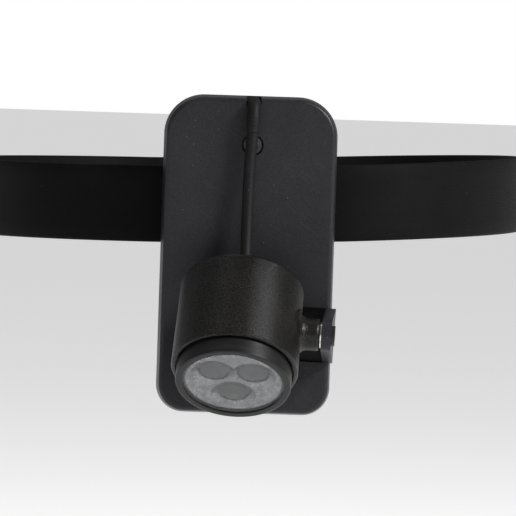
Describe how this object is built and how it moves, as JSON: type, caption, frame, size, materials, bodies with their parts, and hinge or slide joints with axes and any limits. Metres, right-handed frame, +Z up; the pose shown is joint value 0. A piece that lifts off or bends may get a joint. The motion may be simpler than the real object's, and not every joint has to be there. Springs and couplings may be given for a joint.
{
  "type": "headlamp",
  "caption": "Headlamp with a flat rounded battery box on a webbing head strap and a cylindrical lamp that tilts in a side ear, fed by a lead from a notch at the top.",
  "frame": {"origin": "middle of the forehead pad's back face across the width, level with the middle of the strap", "axes": "+Z up, +X to the right as the lamp's front is looked at, -Y the way the lamp faces, +Y towards the wearer's head"},
  "size_m": [0.1904, 0.2715, 0.1035],
  "materials": {
    "box_plastic": "satin",
    "rear_plastic": "satin",
    "lamp_plastic": "satin",
    "bezel": "satin",
    "button_rubber": "matte",
    "seal_rubber": "matte",
    "cord_rubber": "satin",
    "webbing": "matte",
    "foam": "matte",
    "buckle_plastic": "satin",
    "screw_steel": "bright",
    "black_steel": "blackened",
    "contact_metal": "nickel plated",
    "cell_sleeve": "printed film",
    "circuit_board": "solder mask",
    "component_black": "matte",
    "wire_jacket": "smooth",
    "lens_clear": "clear",
    "reflector_metal": "vacuum metallised",
    "led_dome": "clear optic, grey when unlit",
    "led_board": "white solder mask",
    "sink_aluminium": "turned"
  },
  "bodies": {
    "battery_box": {"front_cover": "box_plastic", "rear_cover": "rear_plastic", "cover_gasket": "seal_rubber", "cover_screw": "screw_steel", "cell_left": "cell_sleeve", "cell_middle": "cell_sleeve", "cell_right": "cell_sleeve", "plate_contacts": "contact_metal", "leaf_contacts": "contact_metal", "driver_board": "circuit_board", "board_parts": "component_black", "board_screws": "screw_steel", "tact_switch": "component_black", "strap_bridge": "rear_plastic", "bridge_screws": "screw_steel", "forehead_pad": "foam", "strap": "webbing", "strain_relief": "cord_rubber", "board_wires": "wire_jacket", "lead": "cord_rubber"},
    "button": {"switch_button": "button_rubber"},
    "adjuster": {"strap_adjuster": "buckle_plastic", "strap_end": "webbing"},
    "lamp": {"lamp_housing": "lamp_plastic", "pivot_screw": "black_steel", "friction_washer": "contact_metal", "lamp_gland": "cord_rubber", "bezel_ring": "bezel", "lens": "lens_clear", "lens_seal": "seal_rubber", "reflector": "reflector_metal", "leds": "led_dome", "led_board": "led_board", "heat_sink": "sink_aluminium", "led_wires": "wire_jacket"}
  },
  "joints": [
    {"name": "lamp_tilt", "type": "hinge", "parent": "battery_box", "child": "lamp", "pos_m": [0.02552, -0.05253, -0.04069], "axis": [0.9972, -0.0645, -0.0384], "range_deg": [-53, 37], "deforming": ["lead"]},
    {"name": "button_press", "type": "slide", "parent": "battery_box", "child": "button", "axis": [0, 0, 1], "range_m": [0, 0.0008], "stiffness_N_per_m": 800},
    {"name": "adjuster_slide", "type": "slide", "parent": "battery_box", "child": "adjuster", "axis": [0.9995, 0, 0.0332], "range_m": [-0.012, 0.006]}
  ]
}
